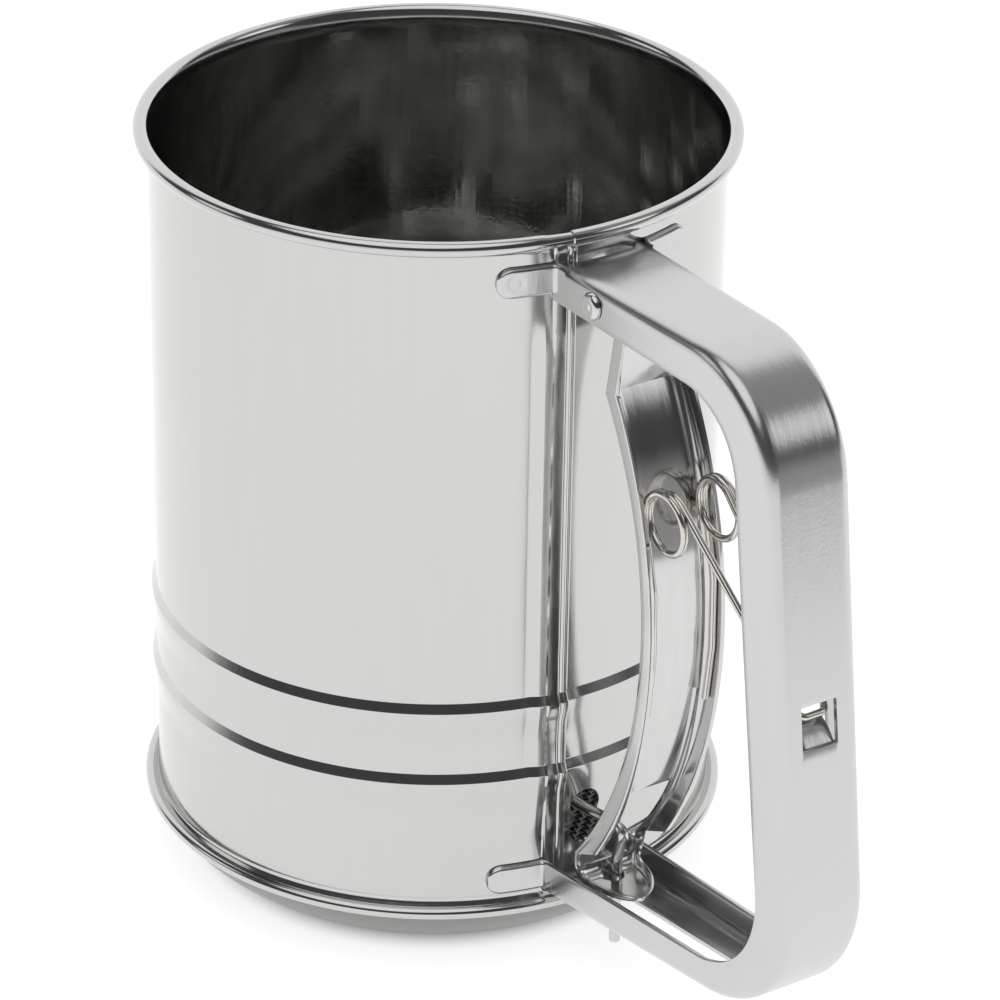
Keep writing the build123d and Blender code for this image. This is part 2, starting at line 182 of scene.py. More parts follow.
# Floor and lamp, in metres and watts. The floor glows from just outside the standing ring outwards; inside
# that it doesn't glow, a painted shade under the part.
FLOOR_R = 0.5
FLOOR_TONE = 0.36
FLOOR_GLOW = 0.84
GLOW_STARTS = 0.036
GLOW_FULL = 0.046
LAMP_PLACE = (0.7, -0.2, 2.2)
LAMP_AIM = (0.1, 0.0, 0.05)
LAMP_SIDE = 2.0
LAMP_POWER = 15


def soft(value):
    """Nought to one with soft ends."""
    value = min(1.0, max(0.0, value))
    return value * value * (3 - 2 * value)


def dip(value, middle, width):
    """A smooth bump of height one about a middle."""
    return math.exp(-((value - middle) / width) ** 2)


def rounded_line(corners, radii, run_steps, arc_steps):
    """A line through corner points of any dimension, its corners rounded, as evenly counted points."""
    points = [Vector(c) for c in corners]
    line = []
    start = points[0]
    for i, radius in enumerate(radii, 1):
        corner = points[i]
        back = (points[i - 1] - corner).normalized()
        ahead = (points[i + 1] - corner).normalized()
        turn = math.pi - back.angle(ahead)
        reach = radius * math.tan(turn / 2)
        first = corner + back * reach
        centre = corner + (back + ahead).normalized() * (radius / math.cos(turn / 2))
        line += [start.lerp(first, k / run_steps) for k in range(run_steps)]
        out = (first - centre).normalized()
        along = -back
        for k in range(arc_steps):
            angle = turn * k / arc_steps
            line.append(centre + (out * math.cos(angle) + along * math.sin(angle)) * radius)
        start = corner + ahead * reach
    line += [start.lerp(points[-1], k / run_steps) for k in range(run_steps + 1)]
    return line


def make_object(name, verts, faces, material, body, nodes=()):
    """A mesh from points in millimetres, riding on a CAD body."""
    mesh = bpy.data.meshes.new(name)
    mesh.from_pydata([Vector(v) * MM for v in verts], [], faces)
    mesh.validate()
    obj = bpy.data.objects.new(name, mesh)
    bpy.context.scene.collection.objects.link(obj)
    finish_object(obj, material, body, nodes)
    return obj


def paint(obj, *materials):
    """Gives a piece its materials and no others."""
    obj.data.materials.clear()
    for material in materials:
        obj.data.materials.append(material)


def finish_object(obj, material, body, nodes=()):
    """Material, slot, body and the CAD nodes that the piece stands for."""
    paint(obj, material)
    if body:
        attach(obj, body)
    if nodes:
        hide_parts(*nodes)


def grid_faces(rows, columns, close_rows=False, close_columns=False):
    """Quads over a grid of points stored row by row."""
    faces = []
    for i in range(rows if close_rows else rows - 1):
        for j in range(columns if close_columns else columns - 1):
            ni = (i + 1) % rows
            nj = (j + 1) % columns
            faces.append((i * columns + j, i * columns + nj, ni * columns + nj, ni * columns + j))
    return faces


def sheet_faces(rows, columns):
    """Faces of a closed sheet: an outer skin, an inner skin stored after it, and the edge between them."""
    base = rows * columns
    outer = grid_faces(rows, columns)
    faces = outer + [tuple(base + v for v in reversed(face)) for face in outer]
    border = list(range(columns))
    border += [i * columns + columns - 1 for i in range(1, rows)]
    border += [(rows - 1) * columns + j for j in range(columns - 2, -1, -1)]
    border += [i * columns for i in range(rows - 2, 0, -1)]
    for a, b in zip(border, border[1:] + border[:1]):
        faces.append((a, b, base + b, base + a))
    return faces


def fix_normals(obj):
    """Outward faces all round."""
    work = bmesh.new()
    work.from_mesh(obj.data)
    bmesh.ops.remove_doubles(work, verts=work.verts, dist=1e-6)
    bmesh.ops.recalc_face_normals(work, faces=work.faces)
    work.to_mesh(obj.data)
    work.free()


def shade(obj, sharp_degrees=35):
    """Smooth shading, with edges sharper than the angle kept sharp."""
    obj.data.shade_smooth()
    obj.data.set_sharp_from_angle(angle=math.radians(sharp_degrees))


def apply_modifiers(obj):
    """Puts the modifiers' result into the mesh."""
    depsgraph = bpy.context.evaluated_depsgraph_get()
    mesh = bpy.data.meshes.new_from_object(obj.evaluated_get(depsgraph))
    old = obj.data
    obj.modifiers.clear()
    obj.data = mesh
    bpy.data.meshes.remove(old)


def cut(obj, cutter):
    """Takes the cutter's shape out of the object."""
    boolean = obj.modifiers.new("cut", "BOOLEAN")
    boolean.operation = "DIFFERENCE"
    boolean.solver = "EXACT"
    boolean.object = cutter
    bpy.context.view_layer.update()
    apply_modifiers(obj)
    mesh = cutter.data
    bpy.data.objects.remove(cutter)
    bpy.data.meshes.remove(mesh)


def bevel(obj, width_mm):
    """Rounds the sharp edges a little."""
    modifier = obj.modifiers.new("bevel", "BEVEL")
    modifier.width = width_mm * MM
    modifier.segments = 2
    modifier.limit_method = "ANGLE"
    modifier.angle_limit = math.radians(50)
    modifier.harden_normals = False
    bpy.context.view_layer.update()
    apply_modifiers(obj)


def prism(outline, low, high, axis):
    """A closed prism: outline points in the plane across the axis, in millimetres, from low to high."""
    def place(u, v, w):
        if axis == "X":
            return (w, u, v)
        if axis == "Y":
            return (u, w, v)
        return (u, v, w)
    count = len(outline)
    verts = [place(u, v, w) for w in (low, high) for u, v in outline]
    faces = [tuple(range(count)), tuple(range(2 * count - 1, count - 1, -1))]
    for i in range(count):
        j = (i + 1) % count
        faces.append((i, j, count + j, count + i))
    mesh = bpy.data.meshes.new("cutter")
    mesh.from_pydata([Vector(v) * MM for v in verts], [], faces)
    obj = bpy.data.objects.new("cutter", mesh)
    bpy.context.scene.collection.objects.link(obj)
    fix_normals(obj)
    return obj


def slot_outline(centre, half_length, radius, steps=16):
    """A round-ended slot about a centre, lying along the first direction."""
    points = []
    for side in (1, -1):
        for k in range(steps + 1):
            angle = -math.pi / 2 + math.pi * k / steps
            u = side * (half_length - radius + radius * math.cos(angle))
            v = side * radius * math.sin(angle)
            points.append((centre[0] + u, centre[1] + v))
    return points


def round_outline(centre, radius, steps):
    """A round hole about a centre."""
    return slot_outline(centre, radius, radius, steps)[:-1]


def lathe(name, profile, material, nodes, columns=256):
    """A closed profile of (radius, height) turned about the body axis."""
    verts = []
    for k in range(columns):
        angle = 2 * math.pi * k / columns
        for r, z in profile:
            verts.append((r * math.cos(angle), r * math.sin(angle), z))
    faces = grid_faces(columns, len(profile), close_rows=True, close_columns=True)
    obj = make_object(name, verts, faces, material, "frame", nodes)
    fix_normals(obj)
    shade(obj)
    return obj


def wire_parts(points, radius, ring, capped=True):
    """Points and faces of a round wire along a line, in millimetres."""
    points = [Vector(p) for p in points]
    verts = []
    faces = []
    normal = None
    count = len(points)
    for i, point in enumerate(points):
        ahead = (points[min(i + 1, count - 1)] - points[max(i - 1, 0)]).normalized()
        if normal is None:
            helper = Vector((0, 0, 1)) if abs(ahead.z) < 0.9 else Vector((1, 0, 0))
            normal = helper.cross(ahead).normalized()
        normal = (normal - ahead * normal.dot(ahead)).normalized()
        side = ahead.cross(normal)
        for k in range(ring):
            angle = 2 * math.pi * k / ring
            verts.append(point + (normal * math.cos(angle) + side * math.sin(angle)) * radius)
    for i in range(count - 1):
        for k in range(ring):
            nk = (k + 1) % ring
            faces.append((i * ring + k, i * ring + nk, (i + 1) * ring + nk, (i + 1) * ring + k))
    if capped:
        faces.append(tuple(range(ring - 1, -1, -1)))
        faces.append(tuple((count - 1) * ring + k for k in range(ring)))
    return verts, faces


def wire(name, points, radius, material, body, nodes=(), ring=16):
    """A round wire as one piece."""
    verts, faces = wire_parts(points, radius, ring)
    obj = make_object(name, verts, faces, material, body, nodes)
    shade(obj, 50)
    return obj


# ---------------------------------------------------------------- materials

def noise(tree, coordinates, scale, detail):
    """One noise texture's value."""
    texture = tree.nodes.new("ShaderNodeTexNoise")
    texture.inputs["Scale"].default_value = scale
    texture.inputs["Detail"].default_value = detail
    tree.links.new(coordinates, texture.inputs["Vector"])
    return texture.outputs["Fac"]


def weighted(tree, value, weight, plus=None):
    """A value times a weight, plus another value if one is given."""
    node = tree.nodes.new("ShaderNodeMath")
    node.operation = "MULTIPLY" if plus is None else "MULTIPLY_ADD"
    node.inputs[1].default_value = weight
    tree.links.new(value, node.inputs[0])
    if plus is not None:
        tree.links.new(plus, node.inputs[2])
    return node.outputs[0]


def ramp(tree, value, start, end, low, high, soft_ends=False):
    """Maps a value from start..end to low..high."""
    node = tree.nodes.new("ShaderNodeMapRange")
    if soft_ends:
        node.interpolation_type = "SMOOTHSTEP"
    node.inputs["From Min"].default_value = start
    node.inputs["From Max"].default_value = end
    node.inputs["To Min"].default_value = low
    node.inputs["To Max"].default_value = high
    tree.links.new(value, node.inputs["Value"])
    return node.outputs["Result"]


def steel(name, colour, roughness, streak, streak_depth=0.04, grain=900.0, grain_depth=0.35, bump=0.02):
    """Bright steel with drawn streaks, soft patches in its polish and a very fine grain."""
    rough_spread = 0.03
    material = bpy.data.materials.new(name)
    material.use_nodes = True
    tree = material.node_tree
    shader = tree.nodes["Principled BSDF"]
    shader.inputs["Metallic"].default_value = 1.0
    place = tree.nodes.new("ShaderNodeTexCoord").outputs["Object"]
    stretch = tree.nodes.new("ShaderNodeMapping")
    stretch.inputs["Scale"].default_value = [s * 10 for s in streak]
    tree.links.new(place, stretch.inputs["Vector"])
    streaks = noise(tree, stretch.outputs["Vector"], 1.0, 5.0)
    patches = noise(tree, place, 18.0, 3.0)
    fine = noise(tree, place, grain, 2.0)
    wear = weighted(tree, streaks, 0.5, plus=weighted(tree, patches, 0.5))
    rough = ramp(tree, wear, 0.3, 0.7, max(0.02, roughness - rough_spread), roughness + rough_spread)
    tree.links.new(rough, shader.inputs["Roughness"])
    tint = tree.nodes.new("ShaderNodeMix")
    tint.data_type = "RGBA"
    tint.inputs["A"].default_value = (*[c * (1 - streak_depth) for c in colour], 1)
    tint.inputs["B"].default_value = (*[min(1, c * (1 + streak_depth)) for c in colour], 1)
    tree.links.new(wear, tint.inputs["Factor"])
    tree.links.new(tint.outputs["Result"], shader.inputs["Base Color"])
    raised = tree.nodes.new("ShaderNodeBump")
    raised.inputs["Strength"].default_value = bump
    raised.inputs["Distance"].default_value = 0.0002
    tree.links.new(weighted(tree, fine, grain_depth, plus=streaks), raised.inputs["Height"])
    tree.links.new(raised.outputs["Normal"], shader.inputs["Normal"])
    return material


def plain_floor():
    """Pale matt floor that glows a little, like a light table, but not under the part, where the missing glow
    is painted shade.
    """
    material = bpy.data.materials.new("pale_floor")
    material.use_nodes = True
    tree = material.node_tree
    shader = tree.nodes["Principled BSDF"]
    shader.inputs["Base Color"].default_value = (FLOOR_TONE, FLOOR_TONE, FLOOR_TONE, 1)
    shader.inputs["Roughness"].default_value = 0.9
    shader.inputs["Specular IOR Level"].default_value = 0.1
    shader.inputs["Emission Color"].default_value = (1, 1, 1, 1)
    place = tree.nodes.new("ShaderNodeTexCoord").outputs["Object"]
    reach = tree.nodes.new("ShaderNodeVectorMath")
    reach.operation = "LENGTH"
    tree.links.new(place, reach.inputs[0])
    # No glow under the part: painted shade under the sifter.
    glow = ramp(tree, reach.outputs["Value"], GLOW_STARTS, GLOW_FULL, 0.0, FLOOR_GLOW, soft_ends=True)
    tree.links.new(glow, shader.inputs["Emission Strength"])
    return material


BODY_STEEL = steel("body_steel", (0.585, 0.585, 0.575), 0.12, streak=(90, 90, 4), bump=0.03)
# The inside's steel is a brighter copy of the body steel: painted light, lifting the shade inside the body.
INSIDE_STEEL_PAINTED_LIGHT = steel("inside_steel_painted_light", (0.82, 0.82, 0.81), 0.07, streak=(70, 70, 5), streak_depth=0.12,
                     bump=0.12)
SATIN_STEEL = steel("satin_steel", (0.60, 0.60, 0.60), 0.24, streak=(8, 90, 8), bump=0.14, grain=1600)
TRIGGER_STEEL = steel("trigger_steel", (0.62, 0.62, 0.615), 0.12, streak=(30, 60, 6), streak_depth=0.1,
                      grain_depth=0.06, bump=0.06)
WIRE_STEEL = steel("wire_steel", (0.62, 0.615, 0.60), 0.20, streak=(40, 40, 40), bump=0.05)
SPRING_STEEL = steel("spring_steel", (0.64, 0.62, 0.58), 0.14, streak=(50, 50, 50), bump=0.05)
# The screen's steel is painted dark: painted shade at the bottom of the body.
SCREEN_STEEL_SHADED = steel("screen_steel_shaded", (0.12, 0.12, 0.115), 0.38, streak=(90, 90, 90), bump=0.03)
# The base ring's steel is painted dark: painted shade, for the shade under the flange and near the floor.
BASE_STEEL_SHADED = steel("base_steel_shaded", (0.25, 0.25, 0.24), 0.34, streak=(60, 60, 20), bump=0.04)


# ---------------------------------------------------------------- camera, light and floor

# Soft boxes, each its azimuth and elevation, its inner and outer half angle in degrees, and its brightness.
SOFT_BOXES = (
    ((146, 15), 46, 62, 1.05),
    ((46.5, 29), 9, 14, 1.2),
    ((76, 54), 16, 28, 0.31),
    ((-124, 22), 8, 14, 0.9),
    ((-60, 70), 26, 34, 1.1),
)
# The dim end of the table, given in the same way.
TABLE_END = ((33, -8), 11, 21, 0.35)
# The room's tone, and the heights between which it turns into the pale lower half.
ROOM_DIM = 0.065
HORIZON = (0.10, -0.02)


def make_camera():
    """The viewpoint: above, on the handle's near side."""
    data = bpy.data.cameras.new("camera")
    data.lens = 177.6
    data.sensor_width = 36.0
    camera = bpy.data.objects.new("camera", data)
    bpy.context.scene.collection.objects.link(camera)
    place = Vector((0.6533, -0.4225, 0.4789))
    aim = Vector((0.0032, 0.0118, 0.0642))
    roll = Quaternion((0, 0, 1), 0.0167)
    camera.rotation_mode = "QUATERNION"
    camera.rotation_quaternion = (aim - place).to_track_quat("-Z", "Y") @ roll
    camera.location = place
    bpy.context.scene.camera = camera


def heading(azimuth, elevation):
    """A unit direction from its azimuth and elevation in degrees."""
    a = math.radians(azimuth)
    e = math.radians(elevation)
    return Vector((math.cos(e) * math.cos(a), math.cos(e) * math.sin(a), math.sin(e)))


def patch(tree, direction, aim, inner, outer, value):
    """A soft-edged round patch of light in the surround, brightest where the direction meets the aim."""
    closeness = tree.nodes.new("ShaderNodeVectorMath")
    closeness.operation = "DOT_PRODUCT"
    closeness.inputs[1].default_value = heading(*aim)
    tree.links.new(direction, closeness.inputs[0])
    start = math.cos(math.radians(outer))
    full = math.cos(math.radians(inner))
    return ramp(tree, closeness.outputs["Value"], start, full, 0.0, value, soft_ends=True)


def make_world():
    """Studio surround: a dim room with soft boxes above a pale lower half whose one end is dimmer."""
    world = bpy.data.worlds.new("studio")
    bpy.context.scene.world = world
    world.use_nodes = True
    tree = world.node_tree
    direction = tree.nodes.new("ShaderNodeTexCoord").outputs["Generated"]
    split = tree.nodes.new("ShaderNodeSeparateXYZ")
    tree.links.new(direction, split.inputs[0])
    total = ramp(tree, split.outputs["Z"], *HORIZON, ROOM_DIM, 1.0, soft_ends=True)
    for box in SOFT_BOXES:
        lightest = tree.nodes.new("ShaderNodeMath")
        lightest.operation = "MAXIMUM"
        tree.links.new(total, lightest.inputs[0])
        tree.links.new(patch(tree, direction, *box), lightest.inputs[1])
        total = lightest.outputs[0]
    *table_end, table_tone = TABLE_END
    dimmed = tree.nodes.new("ShaderNodeMix")
    tree.links.new(patch(tree, direction, *table_end, 1.0), dimmed.inputs["Factor"])
    tree.links.new(total, dimmed.inputs["A"])
    dimmed.inputs["B"].default_value = table_tone
    background = tree.nodes["Background"]
    tree.links.new(dimmed.outputs["Result"], background.inputs["Color"])
    background.inputs["Strength"].default_value = 1.0


def make_lamp():
    """One soft area light overhead that doesn't show in the steel."""
    data = bpy.data.lights.new("top_soft", "AREA")
    data.shape = "SQUARE"
    data.size = LAMP_SIDE
    data.energy = LAMP_POWER
    lamp = bpy.data.objects.new("top_soft", data)
    lamp.location = LAMP_PLACE
    lamp.rotation_mode = "QUATERNION"
    lamp.rotation_quaternion = (Vector(LAMP_AIM) - Vector(LAMP_PLACE)).to_track_quat("-Z", "Y")
    lamp.visible_glossy = False
    bpy.context.scene.collection.objects.link(lamp)


def make_floor():
    """A pale round floor under the part."""
    under_part = (0, 0, CAD_BOX[0][2])
    bpy.ops.mesh.primitive_circle_add(vertices=192, radius=FLOOR_R, fill_type="NGON", location=under_part)
    floor = bpy.context.object
    floor.name = "floor"
    floor.data.materials.append(plain_floor())


# ---------------------------------------------------------------- body

def curl(centre_r, centre_z, curl_r, start, end, steps):
    """Points round a curl, by angle from outward, counter-clockwise, in degrees."""
    points = []
    for k in range(steps + 1):
        angle = math.radians(start + (end - start) * k / steps)
        points.append((centre_r + curl_r * math.cos(angle), centre_z + curl_r * math.sin(angle)))
    return points


def bead_rise(z):
    """How far the sheet stands out at a height: a crisp upper slope, a low crown and a soft lower slope."""
    for middle in BEADS:
        top = middle + BEAD_HALF
        crown = top - BEAD_SLOPE
        if crown <= z < top:
            return BEAD_RISE * (top - z) / BEAD_SLOPE
        if middle - BEAD_HALF < z < crown:
            t = (crown - z) / (2 * BEAD_HALF - BEAD_SLOPE)
            return BEAD_RISE * (1 - soft(t)) * (1 - 0.12 * t) + 0.1 * t * (1 - t)
    return 0.0


def wall_heights(low, high):
    """Heights of the outer wall's points: even, with closer ones round each bead's upper slope."""
    count = 170
    heights = [low + (high - low) * k / count for k in range(count + 1)]
    for middle in BEADS:
        top = middle + BEAD_HALF
        crown = top - BEAD_SLOPE
        heights = [z for z in heights if not top - 2.2 < z < top + 0.4]
        heights += [top + 0.3, top + 0.1, top, top - 0.1, top - 0.9]
        heights += [crown + 0.1, crown, crown - 0.1, crown - 0.35]
    return sorted(heights)


def body_profile():
    """Outer wall from the flange up, the rim's curl, the inner wall back down and the flange's curl."""
    low = FLANGE_Z + FLANGE_CURL_R + 0.2
    high = RIM_Z - RIM_CURL_R - 0.2
    outer = [(BODY_R + 0.25, low - 0.15)]
    outer += [(BODY_R + bead_rise(z), z) for z in wall_heights(low + 0.2, high - 0.2)]
    outer.append((BODY_R + 0.25, high + 0.15))
    rim = curl(RIM_CENTRE_R, RIM_Z, RIM_CURL_R, -130, 160, 34)
    inner = [(INNER_R + 0.16, RIM_Z - 0.4), (INNER_R + 0.04, RIM_Z - 1.2), (INNER_R, RIM_Z - 2.0)]
    inner_steps = 60
    inner_top = RIM_Z - 2.6
    for k in range(inner_steps + 1):
        z = inner_top - (inner_top - FLANGE_Z + 0.2) * k / inner_steps
        inner.append((INNER_R + bead_rise(z), z))
    foot = curl(FLANGE_CENTRE_R, FLANGE_Z, FLANGE_CURL_R, 230, 500, 26)
    return outer, rim, inner, foot


def seam_offset(across, z):
    """Height over the round body, by distance across: the lock seam, and the flatter sheet left of it."""
    half = SEAM_WIDTH / 2
    flat = FLAT_RISE * min(soft((z - 24.0) / 10.0), soft((127.0 - z) / 10.0))
    if across <= -half:
        return flat * max(0.0, (across + half + FLAT_WIDTH) / FLAT_WIDTH) ** 1.5
    if across >= half:
        return 0.0
    rise = min(SEAM_RISE, FLAT_RISE + SEAM_SLOPE * (across + half))
    rise = flat + (rise - flat) * soft((across + half) / 0.28)
    crease = 0.26 * dip(across, 0.45, 0.2) + 0.1 * dip(across, 1.2, 0.15)
    lumps = 0.03 * math.sin(z * 0.61) * math.sin(z * 0.23 + 1.0)
    on_bead = 0.16 * math.sin(z * 0.9) if bead_rise(z) > 0.1 else 0.0
    return (rise + lumps + on_bead - crease) * soft((half - across) / 0.35)


def rim_lap(across):
    """How much smaller the rim's curl is left of its lapped end."""
    if not -10.0 < across <= LAP_END:
        return 0.0
    return LAP_STEP * (1 - (LAP_END - across) / LAP_LENGTH)


def inner_wave(angle, across, z):
    """The inner face's slight unevenness, and the lock seam's groove on the inside."""
    fade = min(1.0, max(0.0, (RIM_Z - 2.0 - z) / 6.0))
    wave = 0.035 * math.sin(5 * angle + 0.04 * z) + 0.03 * math.sin(9 * angle - 0.06 * z + 1.3)
    wave += 0.02 * math.sin(0.13 * z + 2 * angle) + 0.012 * math.sin(17 * angle + 0.1 * z)
    groove = 0.35 * dip(across, -1.9, 0.5) - 0.2 * dip(across, 1.7, 0.5)
    wobble = 1.0 + 0.5 * math.sin(z * 0.5) * math.sin(z * 0.17 + 0.5)
    return fade * (wave - groove * wobble)


def body_angles():
    """Column angles: even round the body, finer over the lock seam."""
    fine_width = 7.0
    fine = [SEAM_ANGLE + (k / 44 - 0.5) * fine_width / BODY_R for k in range(45)]
    step = 2 * math.pi / 300
    coarse = []
    angle = fine[-1] + step
    while angle < fine[0] + 2 * math.pi - step * 0.5:
        coarse.append(angle)
        angle += step
    return fine + coarse


def body_column(angle, outer, rim, inner, foot):
    """The body's profile at an angle, with the seam, the lapped rim and the uneven inner face."""
    across = (angle - SEAM_ANGLE) * BODY_R
    column = []
    for r, z in outer:
        if -12.0 < across < 3.0:
            fade = min(1.0, (z - FLANGE_Z - FLANGE_CURL_R) / 1.5, (RIM_Z - RIM_CURL_R - z) / 1.2)
            r += seam_offset(across, z) * max(0.0, fade)
        column.append((r, z))
    share = 1 - rim_lap(across) / RIM_CURL_R
    column += [(RIM_CENTRE_R + (r - RIM_CENTRE_R) * share, RIM_Z + (z - RIM_Z) * share) for r, z in rim]
    column += [(r + inner_wave(angle, across, z), z) for r, z in inner]
    column += foot
    return column


def cut_wire_hole(body):
    """The two-lobed hole that the drive wire uses."""
    for centre in HOLE_LOBES:
        cut(body, prism(round_outline(centre, HOLE_R, 20), BODY_R - 4, BODY_R + 4, "X"))


def paint_inside(body):
    """The inner face below the rim: its own smoother polish, in a brighter copy of the body steel that is
    painted light.
    """
    paint(body, BODY_STEEL, INSIDE_STEEL_PAINTED_LIGHT)
    inside_limit = (BODY_R + 0.55) * MM
    for face in body.data.polygons:
        radial = Vector((face.center.x, face.center.y, 0))
        turned_in = face.normal.dot(radial) < 0
        below_rim = face.center.z < (RIM_Z - 1.5) * MM
        face.material_index = 1 if turned_in and below_rim and radial.length < inside_limit else 0


def make_body():
    """The body sheet with curls, beads, lock seam and wire hole."""
    profile = body_profile()
    columns = body_angles()
    verts = []
    for angle in columns:
        for r, z in body_column(angle, *profile):
            verts.append((r * math.cos(angle), r * math.sin(angle), z))
    faces = grid_faces(len(columns), sum(len(p) for p in profile), close_rows=True, close_columns=True)
    body = make_object("body_sheet", verts, faces, BODY_STEEL, "frame", ["body_shell"])
    fix_normals(body)
    cut_wire_hole(body)
    paint_inside(body)
    shade(body, 40)


# ---------------------------------------------------------------- base ring and screen

def make_base_ring():
    """Collar, shoulder, bowl, standing face and upturned lip."""
    top = Vector(BOWL_TOP)
    chord = Vector(BOWL_LOW) - top
    outward = Vector((-chord.y, chord.x)).normalized()
    steps = 32
    outer = [top + chord * (k / steps) for k in range(steps + 1)]
    outer = [p + outward * (4 * BOWL_BULGE * (k / steps) * (1 - k / steps)) for k, p in enumerate(outer)]
    inner = [p - outward * SHEET for p in outer]
    profile = [(49.35, 17.0), (49.35, 10.5), (49.6, 10.2), (50.7, 10.2)]
    profile += [(p.x, p.y) for p in outer]
    profile += [(38.35, 0.0), (38.2, 0.15), (38.2, 2.6), (38.8, 2.6), (38.8, 0.75), (38.95, SHEET)]
    profile += [(p.x, max(p.y, SHEET)) for p in inner[-2::-1]]
    profile += [(49.2, 9.6), (48.75, 10.0), (48.75, 17.0)]
    lathe("base_bowl", profile, BASE_STEEL_SHADED, ["base_ring"])


def cloth_wire(direction, number):
    """One wire of the screen, passing over and under its neighbours and round the centre pin."""
    wave = SCREEN_WIRE_R * 0.95
    pin_r = 1.2
    offset = number * SCREEN_PITCH
    half = math.sqrt(SCREEN_R**2 - offset**2)
    steps = max(2, int(2 * half / (SCREEN_PITCH / 4)))
    line = []
    for k in range(steps + 1):
        along = -half + 2 * half * k / steps
        if math.hypot(offset, along) < pin_r:
            along = math.copysign(pin_r, along)
        phase = math.pi * (along / SCREEN_PITCH + number + direction)
        height = SCREEN_Z + wave * math.cos(phase)
        line.append((offset, along, height) if direction else (along, offset, height))
    return line


def make_screen():
    """Woven wire cloth: two sets of wires that cross each other."""
    verts = []
    faces = []
    count = int(SCREEN_R / SCREEN_PITCH)
    for direction in (0, 1):
        for number in range(-count, count + 1):
            part_verts, part_faces = wire_parts(cloth_wire(direction, number), SCREEN_WIRE_R, 5, capped=False)
            base = len(verts)
            verts += part_verts
            faces += [tuple(base + v for v in face) for face in part_faces]
    obj = make_object("woven_screen", verts, faces, SCREEN_STEEL_SHADED, "frame", ["screen_mesh"])
    shade(obj, 60)


def make_hoop():
    """The wire hoop over the screen's edge, with a small gap where its ends meet."""
    points = []
    for k in range(181):
        angle = math.radians(40 + 358 * k / 180)
        points.append((HOOP_R * math.cos(angle), HOOP_R * math.sin(angle), HOOP_Z))
    wire("hoop_wire", points, HOOP_WIRE_R, WIRE_STEEL, "frame", ["screen_hoop"], ring=12)


# ---------------------------------------------------------------- handle

def handle_half(x):
    """The handle's half width at a distance from the body axis."""
    t = min(1.0, max(0.0, (x - BODY_R) / (GRIP_X - BODY_R)))
    return HALF_AT_BODY + (HALF_AT_GRIP - HALF_AT_BODY) * t


def channel_columns(depth_steps, fold_steps, web_steps):
    """Columns over a channel's section, each a part, a side and a share along that part."""
    columns = []
    for k in range(depth_steps):
        columns.append(("wall", -1, 1 - k / depth_steps))
    for k in range(fold_steps + 1):
        columns.append(("fold", -1, k / fold_steps))
    for k in range(1, web_steps):
        columns.append(("web", 0, -1 + 2 * k / web_steps))
    for k in range(fold_steps + 1):
        columns.append(("fold", 1, 1 - k / fold_steps))
    for k in range(1, depth_steps + 1):
        columns.append(("wall", 1, k / depth_steps))
    return columns


def section_point(column, outer, edge, half, fold_r, inset):
    """A point of a channel's skin, or of its inner face at an inset, from its two lines and half width."""
    kind, side, share = column
    depth = edge - outer
    length = depth.length
    fold = min(fold_r, length * 0.9, half * 0.7)
    bend = max(fold - inset, 0.12)
    if inset and fold_r < TIGHT_FOLD_R:
        bend = min(bend + INNER_EASE, length - inset - 0.3)
    if kind == "wall":
        down = fold + (length - fold) * share
        y = side * max(0.06, half - inset)
    elif kind == "fold":
        angle = share * math.pi / 2
        down = inset + bend * (1 - math.sin(angle))
        y = side * max(0.04, half - inset - bend + bend * math.cos(angle))
    else:
        down = inset
        y = share * max(0.02, half - inset - bend)
    spot = outer + depth.normalized() * min(down, length)
    return Vector((spot.x, y, spot.y))


def channel(name, sections, sheet, material, body, nodes, steps=(5, 6, 12), ends=None):
    """A closed sheet channel through sections: outer point, edge point, half width and fold of each."""
    columns = channel_columns(*steps)
    verts = []
    for inset in (0.0, sheet):
        skin = []
        for outer, edge, half, fold in sections:
            for column in columns:
                skin.append(section_point(column, outer, edge, half, fold, inset))
        verts += ends(skin, columns, len(sections)) if ends else skin
    faces = sheet_faces(len(sections), len(columns))
    obj = make_object(name, verts, faces, material, body, nodes)
    fix_normals(obj)
    return obj


def thicken(obj, sheet):
    """Solid sheet from a skin. The skin stays as the outer face."""
    modifier = obj.modifiers.new("sheet", "SOLIDIFY")
    modifier.thickness = sheet * MM
    modifier.offset = -1.0
    modifier.use_even_offset = True
    modifier.use_quality_normals = True
    bpy.context.view_layer.update()
    apply_modifiers(obj)


def face_outward(obj, inside_mm):
    """Turns an open skin so that its faces look away from a point inside it."""
    work = bmesh.new()
    work.from_mesh(obj.data)
    bmesh.ops.recalc_face_normals(work, faces=work.faces)
    inside = Vector(inside_mm) * MM
    votes = sum((f.calc_center_median() - inside).dot(f.normal) * f.calc_area() for f in work.faces)
    if votes < 0:
        bmesh.ops.reverse_faces(work, faces=work.faces)
    work.to_mesh(obj.data)
    work.free()


# Sections along each straight run and round each bend of the handle.
RUN_STEPS = 26
ARC_STEPS = 30


def handle_ends(verts, columns, rows):
    """Fits the channel's ends to the body: each web's end to a hollow arc, the rest to the wall."""
    width = len(columns)
    for first, last, hollow in ((0, RUN_STEPS, TOP_HOLLOW), (rows - 1, rows - 1 - RUN_STEPS, BOTTOM_HOLLOW)):
        step = 1 if last > first else -1
        for j in range(width):
            start = verts[first * width + j]
            end = verts[last * width + j]
            clear = BODY_R + FIT_GAP + (hollow if columns[j][0] == "web" else 0.02)
            x = math.sqrt(clear**2 - start.y * start.y)
            begin = start.lerp(end, (x - start.x) / (end.x - start.x))
            begin.y = start.y
            for k in range(RUN_STEPS):
                verts[(first + step * k) * width + j] = begin.lerp(end, k / RUN_STEPS)
    return verts


